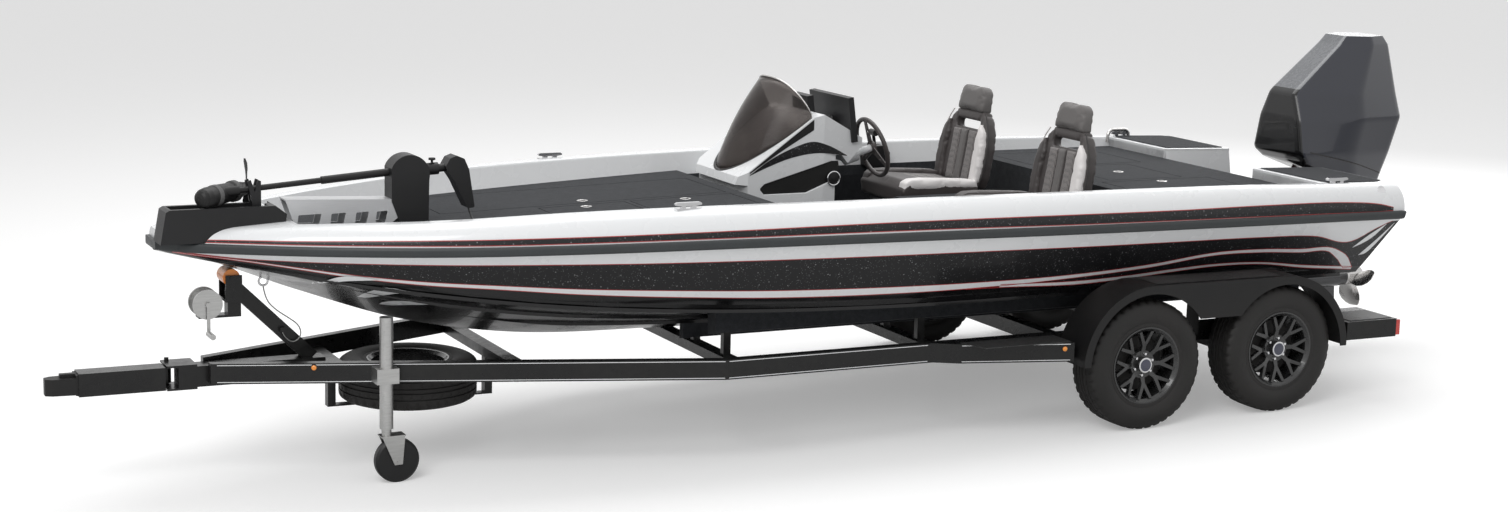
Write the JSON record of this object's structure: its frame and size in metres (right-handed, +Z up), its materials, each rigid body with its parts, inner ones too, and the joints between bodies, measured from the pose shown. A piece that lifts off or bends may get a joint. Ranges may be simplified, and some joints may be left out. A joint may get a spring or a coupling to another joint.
{
  "type": "bass boat on a tandem trailer",
  "caption": "Glass-fibre bass boat with a tilting outboard, bow trolling motor, console, seats and deck lockers, standing on its parked tandem trailer with a swing-away tongue and a jack caster.",
  "frame": {"origin": "on the floor, below the middle of the bounding box", "axes": "+X from the trailer coupler aft to the outboard, +Y to starboard, +Z up"},
  "size_m": [7.9429, 2.54, 1.8823],
  "materials": {
    "alu": "satin",
    "black_paint": "gloss",
    "black_plastic": "satin",
    "cable": "matte",
    "cap_white": "gloss",
    "carpet": "matte",
    "cowl_grey": "gloss",
    "engine_metal": "cast",
    "hull_paint": "gloss metalflake",
    "red_lens": "clear",
    "rim_black": "gloss",
    "roller_black": "matte",
    "screen": "black glass",
    "steel_bright": "satin",
    "tint": "tinted",
    "trim_dark": "gloss",
    "tyre_black": "matte",
    "vinyl": "satin",
    "zinc": "dull"
  },
  "bodies": {
    "boat_and_trailer": {"axles": "black_paint", "bow_cable": "cable", "bow_roller": "roller_black", "bunks": "carpet", "cleats": "steel_bright", "cockpit_tub": "carpet", "console": "cap_white", "crossmembers": "black_paint", "displays": "screen", "fenders": "black_paint", "front_deck": "carpet", "grab_rails": "steel_bright", "gunwale_cap": "cap_white", "hull": "hull_paint", "jack_tube": "zinc", "motor_cable": "cable", "rails": "black_paint", "rear_deck": "carpet", "rub_rail": "trim_dark", "seat_boxes": "cap_white", "seat_driver": "vinyl", "seat_passenger": "vinyl", "spare_rim": "rim_black", "spare_tyre": "tyre_black", "tail_lamps": "red_lens", "throttle": "black_plastic", "tongue_fixed": "black_paint", "transom_bracket": "engine_metal", "troll_arm": "alu", "troll_base": "black_plastic", "troll_motor": "black_plastic", "troll_tower": "black_plastic", "winch": "zinc", "winch_post": "black_paint", "windshield": "tint"},
    "wheel_front_port": {"tyre_front_port": "tyre_black", "rim_front_port": "rim_black"},
    "wheel_front_starboard": {"tyre_front_starboard": "tyre_black", "rim_front_starboard": "rim_black"},
    "wheel_rear_port": {"tyre_rear_port": "tyre_black", "rim_rear_port": "rim_black"},
    "wheel_rear_starboard": {"tyre_rear_starboard": "tyre_black", "rim_rear_starboard": "rim_black"},
    "caster_fork": {"caster_fork": "zinc"},
    "caster_wheel": {"caster_wheel": "black_plastic"},
    "tongue_swing": {"tongue_swing": "black_paint", "coupler": "zinc"},
    "outboard_swivel": {"swivel_bracket": "engine_metal"},
    "outboard_motor": {"gearcase": "cowl_grey", "cowl": "cowl_grey", "engine_block": "engine_metal"},
    "outboard_propeller": {"propeller": "steel_bright"},
    "steering_wheel": {"steering_wheel": "black_plastic"},
    "troll_propeller": {"troll_propeller": "black_plastic"},
    "lid_rod_starboard": {"lid_rod_starboard": "carpet"},
    "lid_port_forward": {"lid_port_forward": "carpet"},
    "lid_port_aft": {"lid_port_aft": "carpet"},
    "lid_rear_port": {"lid_rear_port": "carpet"},
    "lid_rear_centre": {"lid_rear_centre": "carpet"},
    "lid_rear_starboard": {"lid_rear_starboard": "carpet"}
  },
  "joints": [
    {"name": "wheel_front_port_spin", "type": "hinge", "parent": "boat_and_trailer", "child": "wheel_front_port", "pos_m": [1.433, -1.13, 0.346], "axis": [0, 1, 0], "continuous": true},
    {"name": "wheel_front_starboard_spin", "type": "hinge", "parent": "boat_and_trailer", "child": "wheel_front_starboard", "pos_m": [1.433, 1.13, 0.346], "axis": [0, 1, 0], "continuous": true},
    {"name": "wheel_rear_port_spin", "type": "hinge", "parent": "boat_and_trailer", "child": "wheel_rear_port", "pos_m": [2.299, -1.13, 0.346], "axis": [0, 1, 0], "continuous": true},
    {"name": "wheel_rear_starboard_spin", "type": "hinge", "parent": "boat_and_trailer", "child": "wheel_rear_starboard", "pos_m": [2.299, 1.13, 0.346], "axis": [0, 1, 0], "continuous": true},
    {"name": "caster_swivel", "type": "hinge", "parent": "boat_and_trailer", "child": "caster_fork", "pos_m": [-2.44779, -0.43897, 0.24], "axis": [0, 0, 1], "continuous": true},
    {"name": "caster_spin", "type": "hinge", "parent": "caster_fork", "child": "caster_wheel", "pos_m": [-2.40179, -0.43897, 0.11], "axis": [0, 1, 0], "continuous": true},
    {"name": "tongue_swing", "type": "hinge", "parent": "boat_and_trailer", "child": "tongue_swing", "pos_m": [-3.38084, 0.078, 0.53257], "axis": [-0.0279, 0, -0.9996], "range_deg": [0, 95]},
    {"name": "outboard_tilt", "type": "hinge", "parent": "boat_and_trailer", "child": "outboard_swivel", "pos_m": [3.22957, 0, 0.99218], "axis": [0, -1, 0], "range_deg": [0, 60]},
    {"name": "outboard_steer", "type": "hinge", "parent": "outboard_swivel", "child": "outboard_motor", "pos_m": [3.36089, 0, 0.85846], "axis": [0.0279, 0, 0.9996], "range_deg": [-30, 30]},
    {"name": "outboard_propeller_spin", "type": "hinge", "parent": "outboard_motor", "child": "outboard_propeller", "pos_m": [3.78041, 0, 0.40557], "axis": [0.9996, 0, -0.0279], "continuous": true},
    {"name": "steering_wheel_turn", "type": "hinge", "parent": "boat_and_trailer", "child": "steering_wheel", "pos_m": [0.67825, 0.4, 1.33855], "axis": [0.9647, 0, 0.2632], "range_deg": [-720, 720]},
    {"name": "troll_propeller_spin", "type": "hinge", "parent": "boat_and_trailer", "child": "troll_propeller", "pos_m": [-2.99114, -0.07047, 1.43401], "axis": [0.8002, 0.5995, 0.0176], "continuous": true},
    {"name": "lid_rod_starboard_hinge", "type": "hinge", "parent": "boat_and_trailer", "child": "lid_rod_starboard", "pos_m": [-1.16598, 0.64, 1.20056], "axis": [-1, 0, 0], "range_deg": [0, 75]},
    {"name": "lid_port_forward_hinge", "type": "hinge", "parent": "boat_and_trailer", "child": "lid_port_forward", "pos_m": [-1.21598, -0.69, 1.20056], "axis": [1, 0, 0], "range_deg": [0, 75]},
    {"name": "lid_port_aft_hinge", "type": "hinge", "parent": "boat_and_trailer", "child": "lid_port_aft", "pos_m": [-0.65598, -0.76, 1.20056], "axis": [1, 0, 0], "range_deg": [0, 75]},
    {"name": "lid_rear_port_hinge", "type": "hinge", "parent": "boat_and_trailer", "child": "lid_rear_port", "pos_m": [2.09379, -0.86, 1.15896], "axis": [0.9996, 0, -0.0279], "range_deg": [0, 75]},
    {"name": "lid_rear_centre_hinge", "type": "hinge", "parent": "boat_and_trailer", "child": "lid_rear_centre", "pos_m": [2.0688, -0.27, 1.15965], "axis": [0.9996, 0, -0.0279], "range_deg": [0, 75]},
    {"name": "lid_rear_starboard_hinge", "type": "hinge", "parent": "boat_and_trailer", "child": "lid_rear_starboard", "pos_m": [2.09379, 0.86, 1.15896], "axis": [-0.9996, 0, 0.0279], "range_deg": [0, 75]}
  ],
  "couplings": [
    {"joint": "outboard_steer", "follows": "steering_wheel_turn", "ratio": -0.0415}
  ]
}
